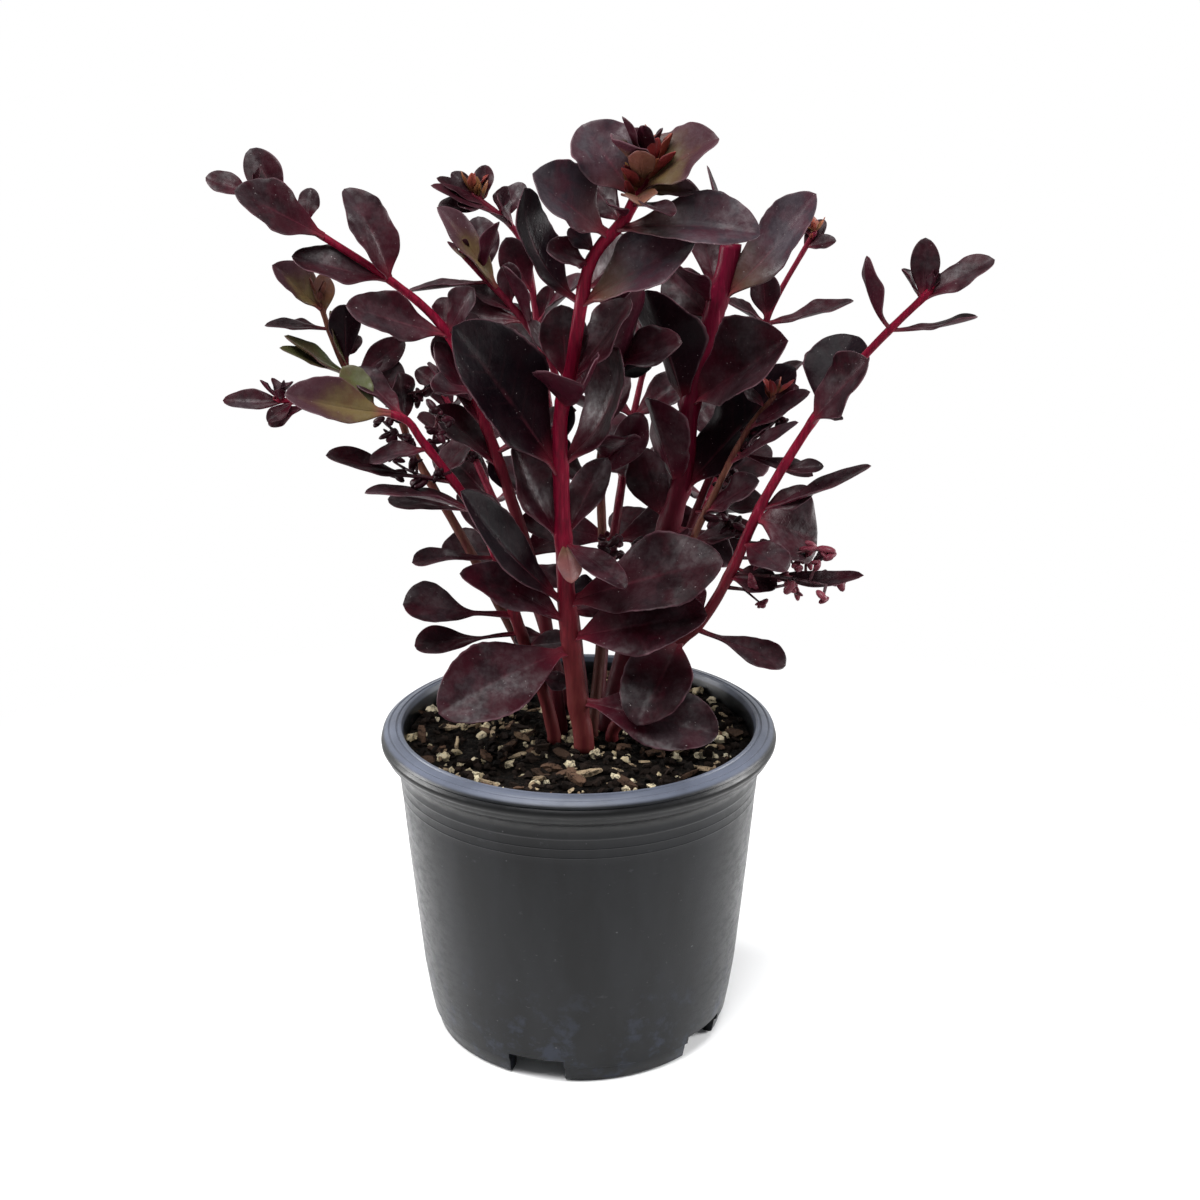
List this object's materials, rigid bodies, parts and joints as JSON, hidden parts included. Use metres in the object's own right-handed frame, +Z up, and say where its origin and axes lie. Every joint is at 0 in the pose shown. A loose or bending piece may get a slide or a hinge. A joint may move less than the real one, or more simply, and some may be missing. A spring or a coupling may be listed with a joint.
{
  "type": "potted sedum",
  "caption": "Dark-leaved upright sedum with red stems and fleshy maroon leaves, growing in a round black plastic nursery pot of potting mix.",
  "frame": {"origin": "middle of the bounding box, at the level the pot stands on", "axes": "+Z up; the side with the tall front stem faces -Y, and +X is to the right seen from there"},
  "size_m": [0.2678, 0.1788, 0.3325],
  "materials": {
    "pot_plastic": "satin moulded plastic",
    "potting_mix": "damp bark and peat mix",
    "stem_crimson": "smooth fleshy stem",
    "leaf_maroon": "waxy fleshy leaf",
    "leaf_near_black": "waxy fleshy leaf",
    "leaf_olive": "waxy young leaf"
  },
  "bodies": {
    "root": {"leaf_brown_left_1": "leaf_near_black", "leaf_brown_left_2": "leaf_olive", "leaf_far_right_1": "leaf_maroon", "leaf_front_1": "leaf_maroon", "leaf_front_10": "leaf_maroon", "leaf_front_11": "leaf_near_black", "leaf_front_12": "leaf_maroon", "leaf_front_13": "leaf_maroon", "leaf_front_14": "leaf_maroon", "leaf_front_15": "leaf_maroon", "leaf_front_16": "leaf_olive", "leaf_front_2": "leaf_maroon", "leaf_front_3": "leaf_maroon", "leaf_front_4": "leaf_maroon", "leaf_front_5": "leaf_near_black", "leaf_front_6": "leaf_maroon", "leaf_front_7": "leaf_maroon", "leaf_front_8": "leaf_maroon", "leaf_front_9": "leaf_near_black", "leaf_left_1": "leaf_maroon", "leaf_left_2": "leaf_maroon", "leaf_left_3": "leaf_maroon", "leaf_left_4": "leaf_maroon", "leaf_left_5": "leaf_olive", "leaf_right_1": "leaf_maroon", "leaf_right_2": "leaf_maroon", "leaf_right_3": "leaf_maroon", "leaf_right_4": "leaf_maroon", "leaf_right_5": "leaf_near_black", "leaf_right_6": "leaf_maroon", "leaf_right_7": "leaf_maroon", "leaf_right_8": "leaf_maroon", "leaf_tall_right_1": "leaf_near_black", "leaf_tall_right_2": "leaf_maroon", "leaf_tall_right_3": "leaf_near_black", "leaf_tall_right_4": "leaf_maroon", "leaf_tall_right_5": "leaf_maroon", "leaf_upper_left_1": "leaf_maroon", "leaf_upper_left_2": "leaf_maroon", "leaf_upper_left_3": "leaf_maroon", "leaf_upper_left_4": "leaf_maroon", "nursery_pot": "pot_plastic", "potting_mix": "potting_mix", "stem_back_far_left": "stem_crimson", "stem_back_far_right": "stem_crimson", "stem_back_left": "stem_crimson", "stem_back_middle": "stem_crimson", "stem_brown_left": "stem_crimson", "stem_bud_branch": "stem_crimson", "stem_far_right": "stem_crimson", "stem_front": "stem_crimson", "stem_left": "stem_crimson", "stem_middle": "stem_crimson", "stem_right": "stem_crimson", "stem_tall_right": "stem_crimson", "stem_thin_left": "stem_crimson", "stem_upper_left": "stem_crimson"}
  },
  "joints": []
}
